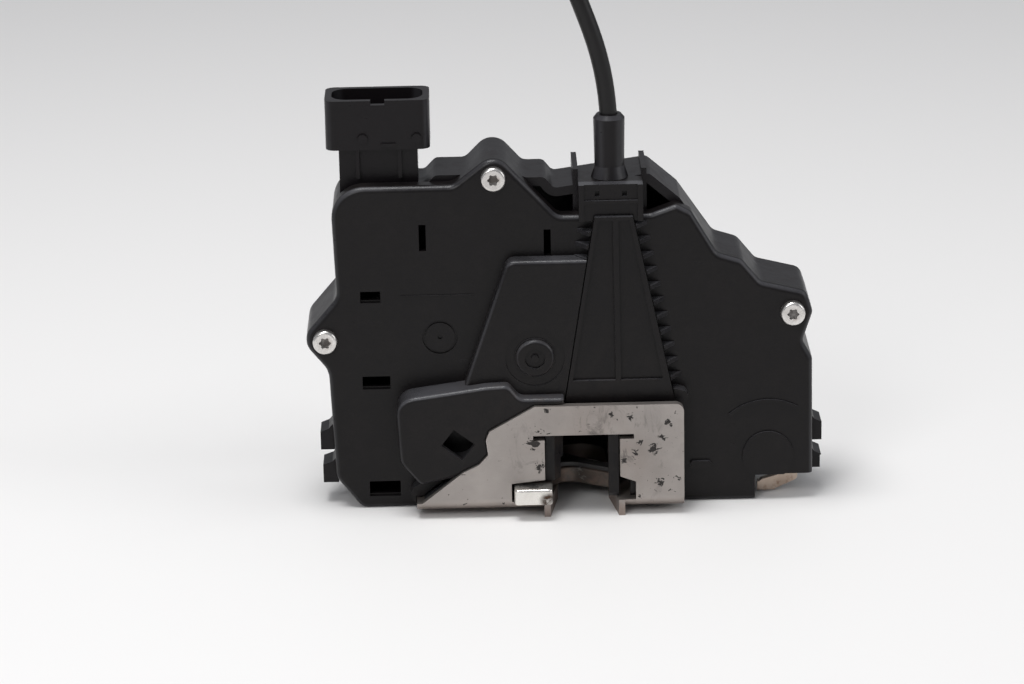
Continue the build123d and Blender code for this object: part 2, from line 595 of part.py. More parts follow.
with BuildPart() as front_cover:
    with BuildSketch(upright(cover_y)):
        add(silhouette(cover_ridge))
    extrude(amount=-rim)
    fillet(front_cover.faces().sort_by(Axis.Y)[0].outer_wire().edges(), edge_r)
    with BuildSketch(upright(cover_y)):
        add(bays())
    extrude(amount=-rim, mode=Mode.SUBTRACT)
    with BuildSketch(upright(cover_y)):
        add(mid_outline())
    extrude(amount=mid_step)
    rolled = front_cover.faces().sort_by(Axis.Y)[0].edges()
    fillet(rolled.filter_by(lambda e: e.center().X < -1.0 and e.center().Z > flap_base + 1), step_r)
    with BuildSketch(upright(cover_y)):
        add(boss_outline())
    extrude(amount=boss_step)
    rolled = front_cover.faces().sort_by(Axis.Y)[0].edges()
    fillet(rolled.filter_by(lambda e: e.center().X < -33.0 or e.center().Z > 28.0), step_r)
    # gussets beside the cable flap
    for side, foot, count in ((1, 31.1, rib_count), (-1, 61.5, 3)):
        for i in range(count):
            z = foot + i * rib_pitch if side > 0 else foot + i * 0.86 * rib_pitch
            edge = (flap_outline[2][0] + (flap_outline[3][0] - flap_outline[2][0]) * (z - flap_base) / (flap_top - flap_base)
                    if side > 0 else 1.2 + (z - 61.5) * 0.13)
            with BuildSketch(level(z)):
                add(polygon((edge - side, cover_y), (edge + side * rib_reach, cover_y), (edge + side * 0.3, cover_y - mid_step + 0.5),
                            (edge - side, cover_y - mid_step + 0.5)))
            extrude(amount=rib_t)
    with BuildSketch(upright(tower_y)):
        with Locations((cable_x, tower_z - 0.4)):
            Rectangle(2 * tower_half, tower_top - tower_z + 0.4, align=(Align.CENTER, Align.MIN))
    extrude(amount=tower_y - seam_y)
    with BuildSketch(upright(tower_y)):
        for side in (-1, 1):
            with Locations((cable_x + side * (tower_half - ear_t / 2), tower_z - 0.4)):
                Rectangle(ear_t, tower_top - tower_z + 0.4, align=(Align.CENTER, Align.MIN))
        with Locations((cable_x, tower_z + 4.4)):
            Rectangle(2 * tower_half, 0.8)
    extrude(amount=0.6)
    with BuildSketch(upright(tower_y)):
        with Locations((cable_x - 3.3, tower_top - 2.3), (cable_x + 3.3, tower_top - 2.3)):
            Rectangle(1.1, 1.3)
    extrude(amount=-1.2, mode=Mode.SUBTRACT)
    # raised arc over the outside pivot, stop bump by the flap, rest pad beside the flange
    with BuildSketch(upright(cover_y)):
        add(ring(outside_x, outside_z, arc_r, arc_r - 0.7))
        with Locations((outside_x, outside_z)):
            Rectangle(60, 60, align=(Align.CENTER, Align.MAX), mode=Mode.SUBTRACT)
        with Locations(Location((outside_x, outside_z, 0), (0, 0, -30))):
            Rectangle(60, 60, align=(Align.MIN, Align.CENTER), mode=Mode.SUBTRACT)
        with Locations(Location((outside_x, outside_z, 0), (0, 0, 42))):
            Rectangle(60, 60, align=(Align.MAX, Align.CENTER), mode=Mode.SUBTRACT)
    extrude(amount=0.5)
    with BuildSketch(upright(cover_y)):
        add(hull((22.6, flap_base + 0.9, 1.8), (24.2, flap_base + 0.6, 1.6)))
        add(hull((-40.1, 3.0, 2.4), (-36.2, 6.2, 1.6)))
        add(steel_room(), mode=Mode.SUBTRACT)
    extrude(amount=mid_step - 0.4)
    with BuildSketch(upright(cover_y)):
        with Locations((28.9, 7.9)):
            RectangleRounded(5.2, 2.0, 0.8)
    extrude(amount=0.9)
    with BuildSketch(upright(cover_y)):
        with Locations((-35.0, 52.8)):
            Rectangle(18.0, 0.3)
    extrude(amount=0.25)
    # hollow behind each step
    with BuildSketch(upright(cover_y + wall)):
        offset(panel(cover_ridge), amount=-wall)
        with Locations(*screws):
            Circle(lug_r - 1.0, mode=Mode.SUBTRACT)
    extrude(amount=-rim, mode=Mode.SUBTRACT)
    with BuildSketch(upright(cover_y + wall)):
        offset(mid_outline(), amount=-flap_rim)
        with Locations((0, block_top + gap + wall)):
            Rectangle(200, 60, align=(Align.CENTER, Align.MAX), mode=Mode.SUBTRACT)
    extrude(amount=mid_step, mode=Mode.SUBTRACT)
    with BuildSketch(upright(cover_y + wall)):
        add(hull((-36.4, 20.6, 9.0 - wall), (key_x, key_z, key_h - wall + 0.4)))
    extrude(amount=boss_step, mode=Mode.SUBTRACT)
    with BuildSketch(upright(cover_y + wall)):
        add(lever_bay())
    extrude(amount=-rim, mode=Mode.SUBTRACT)
    # square hole of the key boss
    with BuildSketch(upright(cover_y - boss_step - 1)):
        with Locations(Location((key_x, key_z, 0), (0, 0, key_turn))):
            Rectangle(key_w, key_h)
    extrude(amount=-boss_step - 4, mode=Mode.SUBTRACT)
    # window for the cable hook, closed by the flap
    with BuildSketch(upright(flap_front - 1)):
        offset(polygon(*flap_outline), amount=-flap_rim)
    extrude(amount=-mid_step - 4, mode=Mode.SUBTRACT)
    with BuildSketch(upright(flap_front - 1)):
        offset(polygon(*flap_outline), amount=gap)
    extrude(amount=-flap_t - 1, mode=Mode.SUBTRACT)
    # slots for the snap hooks of the tray
    with BuildSketch(upright(cover_y)):
        for x, z, w, h in windows:
            with Locations((x, z)):
                Rectangle(w, h)
    extrude(amount=-wall - 0.5, mode=Mode.SUBTRACT)
    with BuildSketch(upright(cover_y)):
        for x, z, w, h in windows[2:]:
            with Locations((x, z - h / 2)):
                Rectangle(w, 1.0)
    extrude(amount=-0.9, mode=Mode.SUBTRACT)
    # pivot bosses: a sunk ring on the wheel's axis, a domed one on the inside lever's
    with BuildSketch(upright(cover_y)):
        add(ring(wheel_x, wheel_z, 4.3, 3.6))
        with Locations((wheel_x, wheel_z)):
            Circle(0.6)
    extrude(amount=-0.5, mode=Mode.SUBTRACT)
    with BuildSketch(upright(flap_front)):
        add(ring(inside_x, inside_z, 7.2, 5.0))
    extrude(amount=-0.35, mode=Mode.SUBTRACT)
    with BuildSketch(upright(flap_front)):
        with Locations((inside_x, inside_z)):
            Circle(4.7)
    extrude(amount=1.1)
    fillet(front_cover.edges().filter_by(GeomType.CIRCLE).filter_by_position(
        Axis.Y, flap_front - 1.11, flap_front - 1.09).sort_by(Axis.X)[-1], 0.9)
    with BuildSketch(upright(flap_front - 1.1)):
        add(ring(inside_x, inside_z, 2.5, 0.9))
    extrude(amount=-0.8, mode=Mode.SUBTRACT)
    with BuildSketch(upright(cover_y)):
        with Locations((outside_x, outside_z)):
            Circle(6.3)
        add(bays(), mode=Mode.SUBTRACT)
    extrude(amount=0.6)
    # bores
    with Locations(*[Location(upright(cover_y) * Location((x, z, 0))) for x, z in screws]):
        Hole(shank_r + run_gap, depth=rim + 1)
    for z, r, depth in ((tower_z - 10, wire_r + 0.7, 12), (tower_z + 1, ferrule_neck_r + seat_gap, 12),
                        (tower_z + 3, ferrule_neck_r + 1.0 + seat_gap, 2.5)):
        with BuildSketch(level(z)):
            with Locations((cable_x, cable_y)):
                Circle(r)
        extrude(amount=depth, mode=Mode.SUBTRACT)

with BuildPart() as cable_flap:
    with BuildSketch(upright(flap_front)):
        add(polygon(*flap_outline))
    extrude(amount=-flap_t)
    with BuildSketch(upright(flap_front)):
        for low, high in (((-2.4, 8.1), (4.3, 7.7)), ((9.4, 19.6), (9.1, 11.8))):
            add(polygon((low[0], flap_base + 5.4), (high[0], flap_top - 0.9), (high[1], flap_top - 0.9),
                        (low[1], flap_base + 5.4)))
    extrude(amount=-flap_t / 2, mode=Mode.SUBTRACT)

with BuildPart() as housing_screws:
    for x, z in screws:
        with BuildSketch(upright(cover_y)):
            with Locations((x, z)):
                Circle(head_r)
        extrude(amount=head_h)
        with BuildSketch(upright(cover_y)):
            with Locations((x, z)):
                Circle(shank_r)
        extrude(amount=-screw_length)
    fillet(housing_screws.edges().group_by(Axis.Y)[0], 0.7)
    with BuildSketch(upright(cover_y - head_h)):
        with Locations(*screws):
            Circle(1.15)
            with PolarLocations(1.1, 6):
                Circle(0.36)
    extrude(amount=-1.1, mode=Mode.SUBTRACT)

# ---- release levers ---------------------------------------------------------------------------
arm = cable_x - inside_x
with BuildPart() as inside_lever:
    with BuildSketch(upright(lever_y)):
        add(hull((inside_x, inside_z, 5.6), (inside_x + 6.0, inside_z, 4.6)))
        add(hull((inside_x + 4.0, inside_z, 4.4), (cable_x - 4.6, inside_z, 4.4)))
        with Locations((inside_x + 10.0, inside_z)):
            Rectangle(arm - 10.0 + 3.4, 2 * (nipple_r + 2.4), align=(Align.MIN, Align.CENTER))
        add(hull((inside_x, inside_z, 4.0), (inside_x - 5.0, inside_z - 9.6, 2.0)))
        with Locations((cable_x - nipple_r - 0.9, inside_z)):
            Rectangle(20, 2 * (nipple_r + 0.45), align=(Align.MIN, Align.CENTER), mode=Mode.SUBTRACT)
        with Locations((inside_x, inside_z)):
            Circle(lever_pin_r + run_gap, mode=Mode.SUBTRACT)
    extrude(amount=-lever_t)

with BuildPart() as outside_lever:
    with BuildSketch(upright(lever_y)) as hook:
        add(hull((outside_x, outside_z, lever_hub_r), (outside_x + 6.0, outside_z - 3.6, 1.9)))
        add(hull((outside_x + 6.0, outside_z - 3.6, 1.9), (outside_x + 6.4, outside_z - 7.4, 1.3)))
        add(hull((outside_x + 6.4, outside_z - 7.4, 1.3), (outside_x + 2.2, outside_z - 9.0, 1.6)))
        add(hull((outside_x + 2.2, outside_z - 9.0, 1.6), (outside_x - 0.4, outside_z - 9.6, 1.5)))
        with Locations((outside_x - 2.2, base_z + 2 * gap)):
            Rectangle(4.4, 2.2, align=(Align.MIN, Align.MIN))
        with Locations((outside_x, outside_z)):
            Circle(lever_pin_r + run_gap, mode=Mode.SUBTRACT)
    extrude(amount=-lever_t)

pin_heads = lever_y - spring_wire * 2 - 0.3
with BuildPart() as lever_pins:
    for x, z in ((inside_x, inside_z), (outside_x, outside_z)):
        with BuildSketch(upright(pin_heads)):
            with Locations((x, z)):
                Circle(lever_pin_r)
        extrude(amount=pin_heads - lever_y - 10.0)
        with BuildSketch(upright(pin_heads)):
            with Locations((x, z)):
                Circle(lever_pin_r + 0.8)
        extrude(amount=0.4)


lever_ring = 3.4


def lever_spring(x, z, leg):
    """Spring wound in front of a release lever, its leg turned against the housing."""
    centre = Vector(x, lever_y - 0.1 - spring_wire / 2, z)
    return wound(centre, Vector(0, -1, 0), lever_ring, Vector(-1, 0, 0), leg)


inside_spring = lever_spring(inside_x, inside_z, Vector(0, 0, -9))
outside_spring = lever_spring(outside_x, outside_z, Vector(0, 0, 9))

# ---- lock drive -------------------------------------------------------------------------------
motor_x = wheel_x - wheel_r - worm_r - 0.2
worm_top = wheel_z + 8.0
motor_base = worm_top + 3.5
with BuildPart() as worm_wheel:
    with BuildSketch(upright(wheel_y)):
        with Locations((wheel_x, wheel_z)):
            Circle(wheel_r - tooth_h)
            with PolarLocations(wheel_r - tooth_h, wheel_teeth):
                Trapezoid(2.2, 2 * tooth_h, 75, rotation=-90)
            Circle(lever_pin_r + run_gap, mode=Mode.SUBTRACT)
            with PolarLocations(6.4, 6):
                Circle(1.9, mode=Mode.SUBTRACT)
    extrude(amount=-wheel_t)

with BuildPart() as lock_lever:
    with BuildSketch(upright(wheel_y + wheel_t + gap)):
        add(hull((wheel_x, wheel_z, 5.0), (wheel_x + 7.0, wheel_z - 7.5, 3.0)))
        add(hull((wheel_x + 7.0, wheel_z - 7.5, 3.0), (wheel_x + 12.0, wheel_z - 9.0, 2.0)))
        with Locations((wheel_x, wheel_z)):
            Circle(lever_pin_r + run_gap, mode=Mode.SUBTRACT)
    extrude(amount=-lever_t)

with BuildPart() as motor_worm:
    with BuildSketch(Plane.XZ.offset(-drive_y)):
        with BuildLine():
            Polyline((motor_x, wheel_z - 8.0), (motor_x + worm_r, wheel_z - 8.0), (motor_x + worm_r, worm_top),
                     (motor_x + 1.0, worm_top), (motor_x + 1.0, motor_base + 5.0), (motor_x, motor_base + 5.0),
                     close=True)
        make_face()
    revolve(axis=Axis((motor_x, drive_y, 0), (0, 0, 1)))

with BuildPart() as lock_motor:
    with BuildSketch(level(motor_base)):
        with Locations((motor_x, drive_y)):
            Circle(motor_r)
    extrude(amount=motor_len)
    with BuildSketch(level(motor_base - 1.2)):
        with Locations((motor_x, drive_y)):
            Circle(3.0)
    extrude(amount=1.4)
    chamfer(lock_motor.edges().group_by(Axis.Z)[-1], 0.8)
    with BuildSketch(level(motor_base - 2)):
        with Locations((motor_x, drive_y)):
            Circle(1.0 + run_gap)
    extrude(amount=2 + 5.0 + gap, mode=Mode.SUBTRACT)

with BuildPart() as lead_frame:
    with BuildSketch(upright(lead_y)):
        add(polygon((-57.0, 45.0), (-57.0, 70.0), (-55.6, 75.4), (-40.0, 75.4), (-24.0, 62.0), (-24.0, 57.0),
                    (-40.0, 57.0), (-40.0, 50.0), (-44.0, 45.0)))
    extrude(amount=-lead_t)

with BuildPart() as latch_switch:
    with BuildSketch(level(block_top + gap + wall)):
        with Locations((-2.0, -12.0)):
            Rectangle(12.8, 6.0)
    extrude(amount=5.8)
    with BuildSketch(level(block_top + gap + wall + 5.8)):
        with Locations((2.0, -12.0)):
            Rectangle(2.4, 3.0)
    extrude(amount=1.2)

# ---- connector --------------------------------------------------------------------------------
neck_foot = panel_top - 4.5
with BuildPart() as connector_socket:
    with BuildSketch(level(plug_base)) as shell:
        with Locations((plug_x, plug_y)):
            RectangleRounded(plug_w, plug_d, 2.4)
    extrude(amount=plug_top - plug_base)
    with BuildSketch(level(neck_foot)):
        with Locations((plug_x, plug_y)):
            Rectangle(neck_w, neck_d)
    extrude(amount=plug_base - neck_foot)
    with BuildSketch(level(plug_base + plug_wall)):
        with Locations((plug_x, plug_y)):
            RectangleRounded(plug_w - 2 * plug_wall, plug_d - 2 * plug_wall, 4.0)
    extrude(amount=plug_top - plug_base, mode=Mode.SUBTRACT)
    with BuildSketch(level(plug_top - 1.1)):
        with Locations((plug_x + 0.2, plug_y - plug_d / 2)):
            Rectangle(3.4, 3 * plug_wall)
    extrude(amount=2, mode=Mode.SUBTRACT)
    # stiffening ribs down the front of the neck, catch bumps and shelf on the shell
    front = plug_y - plug_d / 2
    with BuildSketch(level(neck_foot + 5.4)):
        with Locations((plug_x - 5.0, plug_y - neck_d / 2), (plug_x + 5.2, plug_y - neck_d / 2)):
            Rectangle(0.9, 2.6)
    extrude(amount=plug_base - neck_foot - 5.4)
    with BuildSketch(upright(front)):
        with Locations((plug_x - 3.6, plug_base + 2.8), (plug_x + 9.4, plug_base + 2.8)):
            Circle(1.2)
    extrude(amount=0.8)
    with BuildSketch(upright(front)):
        with Locations((plug_x + 2.6, plug_base + 1.2)):
            Rectangle(3.6, 0.8)
    extrude(amount=0.5)

blades = [(plug_x + (i - 2) * blade_pitch, plug_y + side * 1.9) for i in range(5) for side in (-1, 1)]
with BuildPart() as terminal_blades:
    with BuildSketch(level(neck_foot - 1.5)):
        with Locations(*blades):
            Rectangle(blade_w, blade_t)
    extrude(amount=plug_base + plug_wall + blade_up - neck_foot + 1.5)

# ---- inside-handle cable ----------------------------------------------------------------------
sheath_foot = ferrule_top - 6.0
with BuildPart() as cable_ferrule:
    with BuildSketch(Plane.XZ.offset(-cable_y)):
        with BuildLine():
            Polyline((cable_x, tower_z + 1.2), (cable_x + ferrule_neck_r, tower_z + 1.2),
                     (cable_x + ferrule_neck_r, tower_z + 3.1), (cable_x + ferrule_neck_r + 1.0, tower_z + 3.1),
                     (cable_x + ferrule_neck_r + 1.0, tower_z + 5.4), (cable_x + ferrule_neck_r, tower_z + 5.4),
                     (cable_x + ferrule_neck_r, tower_top + 0.1), (cable_x + ferrule_r + 0.7, tower_top + 0.1),
                     (cable_x + ferrule_r - 0.2, tower_top + 3.0), (cable_x + ferrule_r, ferrule_top - 1.0),
                     (cable_x + ferrule_r - 0.8, ferrule_top), (cable_x, ferrule_top), close=True)
        make_face()
    revolve(axis=Axis((cable_x, cable_y, 0), (0, 0, 1)))
    with BuildSketch(level(tower_z)):
        with Locations((cable_x, cable_y)):
            Circle(wire_r + 0.4)
    extrude(amount=sheath_foot - tower_z, mode=Mode.SUBTRACT)
    with BuildSketch(level(sheath_foot)):
        with Locations((cable_x, cable_y)):
            Circle(cable_r)
    extrude(amount=10, mode=Mode.SUBTRACT)

# The sheath rises, bends left and is wound once, clear above the housing.
route = [Vector(cable_x, cable_y, sheath_foot), Vector(cable_x, cable_y, 98.0), Vector(5.4, -20.5, 110.8),
         Vector(0.8, -20.3, 124.1), Vector(-6.5, -19.6, 142.0), Vector(-16.0, -18.6, 166.0), Vector(-26.0, -17.4, 190.0),
         Vector(-42.7, -16.0, 213.0), Vector(-69.7, -14.6, 221.8), Vector(-96.7, -13.2, 213.0),
         Vector(-113.4, -11.8, 190.0), Vector(-113.4, -10.4, 161.6), Vector(-96.7, -9.0, 138.6),
         Vector(-69.7, -7.6, 129.8), Vector(-42.7, -6.2, 138.6), Vector(-30.0, -5.0, 156.0)]


def tangent_radii(points):
    """Largest arcs that the runs beside each corner allow."""
    radii = []
    for before, corner, after in zip(points, points[1:], points[2:]):
        arriving, leaving = corner - before, after - corner
        turn = radians(arriving.get_angle(leaving))
        radii.append(0.45 * min(arriving.length, leaving.length) / tan(turn / 2))
    return radii


radii = tangent_radii(route)
with BuildPart() as cable_sheath:
    with BuildLine() as path:
        FilletPolyline(*route, radius=radii)
    with BuildSketch(Plane(origin=route[0], z_dir=route[1] - route[0])):
        Circle(cable_r)
    sweep()
print("sheath radii", [round(r, 1) for r in radii], "length", round(path.wires()[0].length, 1))

end_dir = (route[-1] - route[-2]).normalized()
cap_len, cap_bore = 14.0, 3.0
end_plane = Plane(origin=route[-1], z_dir=end_dir)
with BuildPart() as sheath_end:
    with BuildSketch(end_plane.offset(-6.0)):
        Circle(ferrule_r - 0.8)
        Circle(cable_r, mode=Mode.SUBTRACT)
    extrude(amount=6.0)
    with BuildSketch(end_plane):
        Circle(ferrule_r - 0.8)
        Circle(wire_r + 0.2, mode=Mode.SUBTRACT)
    extrude(amount=cap_len - 6.0)
    with BuildSketch(end_plane.offset(2.0)):
        Circle(ferrule_r + 1.4)
        Circle(ferrule_r - 0.8, mode=Mode.SUBTRACT)
    extrude(amount=2.0)

with BuildPart() as wire_latch_end:
    with BuildSketch(level(inside_z)):
        with Locations((cable_x, cable_y)):
            Circle(wire_r)
    extrude(amount=sheath_foot - wire_travel - 0.5 - inside_z)
    with BuildSketch(upright(cable_y - 0.9)):
        with Locations((cable_x, inside_z)):
            Circle(nipple_r)
    extrude(amount=-nipple_len)

with BuildPart() as wire_handle_end:
    with BuildSketch(end_plane.offset(0.5)):
        Circle(wire_r)
    extrude(amount=cap_len + 8.0)
    with BuildSketch(end_plane.offset(cap_len + 7.0)):
        Circle(nipple_r)
    extrude(amount=nipple_len)

# ---- export -----------------------------------------------------------------------------------
pieces = {
    "face_plate": face_plate, "fixing_collars": fixing_collars, "latch_block": latch_block, "claw": claw,
    "claw_jacket": claw_jacket, "claw_pin": claw_pin, "claw_spring": claw_spring, "pawl": pawl,
    "pawl_pin": pawl_pin, "pawl_spring": pawl_spring, "bridge_plate": bridge_plate,
    "striker_bumper": striker_bumper, "rear_housing": rear_housing, "front_cover": front_cover,
    "cable_flap": cable_flap, "housing_screws": housing_screws, "inside_lever": inside_lever,
    "outside_lever": outside_lever, "lever_pins": lever_pins, "inside_spring": inside_spring,
    "outside_spring": outside_spring, "worm_wheel": worm_wheel, "lock_lever": lock_lever,
    "motor_worm": motor_worm, "lock_motor": lock_motor, "lead_frame": lead_frame,
    "latch_switch": latch_switch, "connector_socket": connector_socket, "terminal_blades": terminal_blades,
    "cable_ferrule": cable_ferrule, "cable_sheath": cable_sheath, "sheath_end": sheath_end,
    "wire_latch_end": wire_latch_end, "wire_handle_end": wire_handle_end,
}
for label, piece in pieces.items():
    solid = piece.part if isinstance(piece, BuildPart) else piece
    solid.label = label
    export_step(solid, f"parts/{label}.step")
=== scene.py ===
import math

import bpy
import numpy as np
from mathutils import Matrix, Vector


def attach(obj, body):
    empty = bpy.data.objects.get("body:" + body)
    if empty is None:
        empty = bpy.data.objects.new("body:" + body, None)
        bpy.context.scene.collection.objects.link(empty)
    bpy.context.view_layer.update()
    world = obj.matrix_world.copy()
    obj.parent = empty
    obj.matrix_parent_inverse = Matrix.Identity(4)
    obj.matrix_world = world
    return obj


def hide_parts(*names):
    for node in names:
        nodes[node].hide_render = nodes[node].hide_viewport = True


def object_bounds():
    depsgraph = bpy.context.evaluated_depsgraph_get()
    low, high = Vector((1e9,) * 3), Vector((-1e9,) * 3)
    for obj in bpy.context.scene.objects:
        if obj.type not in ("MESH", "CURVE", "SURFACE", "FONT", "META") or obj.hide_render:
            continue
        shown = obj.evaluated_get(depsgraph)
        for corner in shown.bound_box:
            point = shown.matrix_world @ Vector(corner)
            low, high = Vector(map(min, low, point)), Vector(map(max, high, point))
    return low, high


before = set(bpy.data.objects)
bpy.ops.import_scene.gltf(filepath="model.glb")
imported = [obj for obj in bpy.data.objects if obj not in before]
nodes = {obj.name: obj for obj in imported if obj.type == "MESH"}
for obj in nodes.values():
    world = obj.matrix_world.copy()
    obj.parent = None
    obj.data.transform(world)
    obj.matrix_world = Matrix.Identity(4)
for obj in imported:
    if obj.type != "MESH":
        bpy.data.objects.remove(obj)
cad_box = [list(corner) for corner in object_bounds()]

# ---- the door latch actuator's colours -----------------------------------------------------------
COVER_BLACK = (0.0052, 0.0043, 0.0046)
TRAY_BLACK = (0.0062, 0.0050, 0.0058)
SHEATH_BLACK = (0.0062, 0.0056, 0.0058)
CARRIER_GREY = (0.05, 0.05, 0.052)
# painted highlight colour for the plastic's rolled edges and ledge tops
PAINTED_EDGE_HIGHLIGHT = (0.080, 0.080, 0.088)
PALE_DUST = (0.105, 0.085, 0.078)
ROAD_DUST = (0.085, 0.066, 0.052)
ZINC = (0.395, 0.362, 0.340)
DARK_STEEL = (0.23, 0.22, 0.21)
SPRING_STEEL = (0.32, 0.31, 0.30)
TINNED_BRASS = (0.72, 0.64, 0.46)
BRIGHT_CLAW = ((0.72, 0.69, 0.65), (0.86, 0.84, 0.80))
BRONZE_GREASE = ((0.026, 0.015, 0.010), (0.085, 0.046, 0.027))
BRIGHT_SCREW = ((0.58, 0.56, 0.54), (0.78, 0.76, 0.74))
SCREW_TIDE = (0.22, 0.15, 0.11)
RECESS_DIRT = (0.060, 0.047, 0.040)
LEVER_ZINC = ((0.40, 0.315, 0.255), (0.56, 0.475, 0.40))
COPPER_STAIN = (0.19, 0.095, 0.052)
BLACK_GREASE = (0.011, 0.0075, 0.0058)
BROWN_FILM = (0.20, 0.15, 0.12)
FOOT_RED_BROWN = (0.16, 0.075, 0.04)
CLAW_COVER_BLACK = (0.028, 0.027, 0.027)
BUMPER_BLACK = (0.02, 0.02, 0.02)
NYLON_CREAM = (0.62, 0.58, 0.5)
FLOOR_WHITE = (0.80, 0.79, 0.78)
SKY_WHITE = (0.93, 0.95, 1.0, 1.0)

# ---- places that carry wear, dirt and painted highlights, in metres unless said otherwise --------
MM = 0.001
COVER_FACE = -0.025                       # y of the cover's main face
FLANGE_FACE = -0.034                      # y of the plate's front flange
MOUTH_DUST = (-0.004, -0.034, 0.010)      # middle of the road dust round the striker's mouth
MOUTH_GREASE = (0.001, -0.034, 0.012)     # middle of the grease thrown round the slot
RIGHT_GREASE = (0.016, -0.034, 0.017)
CLAW_LEG_BACK = -0.0335                   # y behind which the claw is greased
CLAW_PATCH = (-0.0089, -0.0373, 0.0036)   # brown patch on the first leg's tip
SCREW_FACES = ((-0.0625, -0.0270, 0.0418), (-0.0208, -0.0270, 0.0820), (0.0515, -0.0270, 0.0466))
GREASE_BLOTS = (                          # x, z and radius on the flange, in millimetres
    (6.7, 24.4, 0.7), (11.2, 23.5, 1.2), (20.8, 22.0, 1.5), (-12.4, 17.6, 1.9), (19.1, 18.1, 1.2),
    (13.6, 17.2, 0.9), (12.6, 14.1, 1.4), (17.0, 15.4, 1.5), (18.7, 6.9, 1.3), (-9.0, 25.7, 1.0),
    (14.0, 2.8, 0.9), (-10.6, 11.2, 1.7), (-11.0, 20.5, 0.9), (9.6, 12.2, 1.0))


def shade(colour, factor):
    """A colour made lighter or darker by one factor."""
    return tuple(part * factor for part in colour)


class Wire:
    """A shader socket that takes part in sums: each operator adds one Math node."""

    def __init__(self, finish, socket):
        self.finish, self.socket = finish, socket

    def math(self, operation, *others, clamp=False):
        settings = {"operation": operation, "use_clamp": clamp}
        return self.finish.node("ShaderNodeMath", settings, self, *others)

    def __add__(self, other):
        return self.math("ADD", other)

    def __sub__(self, other):
        return self.math("SUBTRACT", other)

    def __rsub__(self, other):
        return self.finish.node("ShaderNodeMath", {"operation": "SUBTRACT"}, other, self)

    def __mul__(self, other):
        return self.math("MULTIPLY", other)

    __radd__, __rmul__ = __add__, __mul__

    def clamped(self):
        return self.math("ADD", 0.0, clamp=True)

    def above(self, edge, soft):
        """0 below the edge, 1 past edge + soft, straight between them."""
        return ((self - edge) * (1.0 / soft)).clamped()


class Finish:
    """A procedural material on Object coordinates with one Principled surface.

    Every scale is a count per metre."""

    def __init__(self, name):
        self.material = bpy.data.materials.new(name)
        self.material.use_nodes = True
        self.tree = self.material.node_tree
        self.tree.nodes.clear()
        self.surface = self.tree.nodes.new("ShaderNodeBsdfPrincipled")
        out = self.tree.nodes.new("ShaderNodeOutputMaterial")
        self.tree.links.new(self.surface.outputs["BSDF"], out.inputs["Surface"])
        self.place = self.node("ShaderNodeTexCoord", out="Object")

    def node(self, kind, settings=None, *values, out=0, **named):
        """Adds a node: its settings first, then its sockets by position or by name."""
        made = self.tree.nodes.new(kind)
        for key, value in (settings or {}).items():
            setattr(made, key, value)
        pairs = list(enumerate(values))
        pairs += [(key.replace("_", " "), value) for key, value in named.items()]
        for key, value in pairs:
            self.plug(made.inputs[key], value)
        return Wire(self, made.outputs[out])

    def plug(self, socket, value):
        if isinstance(value, Wire):
            self.tree.links.new(value.socket, socket)
        elif socket.type == "RGBA":
            socket.default_value = (*value, 1.0)
        else:
            socket.default_value = value

    def set(self, **sockets):
        for key, value in sockets.items():
            self.plug(self.surface.inputs[key.replace("_", " ")], value)

    def stretched(self, scale):
        """Object coordinates times a scale for each axis: a larger one shortens the pattern."""
        return self.node("ShaderNodeMapping", {}, self.place, Scale=scale)

    def noise(self, scale, detail=3.0, rough=0.55, warp=0.0, at=None):
        return self.node("ShaderNodeTexNoise", {}, Vector=at or self.place, Scale=scale,
                         Detail=detail, Roughness=rough, Distortion=warp)

    def dots(self, scale, radius, soft):
        """1 at the middle of each random cell, 0 past radius + soft, in cells."""
        away = self.node("ShaderNodeTexVoronoi", {"feature": "F1"}, out="Distance",
                         Vector=self.place, Scale=scale, Randomness=1.0)
        return 1.0 - away.above(radius, soft)

    def mix(self, amount, first, second):
        made = self.tree.nodes.new("ShaderNodeMix")
        made.data_type = "RGBA"
        inputs = {socket.identifier: socket for socket in made.inputs}
        self.plug(inputs["Factor_Float"], amount)
        self.plug(inputs["A_Color"], first)
        self.plug(inputs["B_Color"], second)
        outputs = {socket.identifier: socket for socket in made.outputs}
        return Wire(self, outputs["Result_Color"])

    def ball(self, centre, radius, soft):
        """1 inside a ball round the centre, fading over soft."""
        away = self.node("ShaderNodeVectorMath", {"operation": "DISTANCE"}, self.place, centre,
                         out="Value")
        return 1.0 - away.above(radius, soft)

    def along(self, axis):
        return self.node("ShaderNodeSeparateXYZ", {}, self.place, out=axis)

    def facing(self, axis):
        """The face normal's part along an axis of the object."""
        normal = self.node("ShaderNodeNewGeometry", out="Normal")
        return self.node("ShaderNodeSeparateXYZ", {}, normal, out=axis)

    def bump(self, height, depth, strength=1.0):
        relief = self.node("ShaderNodeBump", {}, Height=height, Strength=strength, Distance=depth)
        self.set(Normal=relief)

    def dress(self, *names):
        for name in names:
            nodes[name].data.materials.clear()
            nodes[name].data.materials.append(self.material)


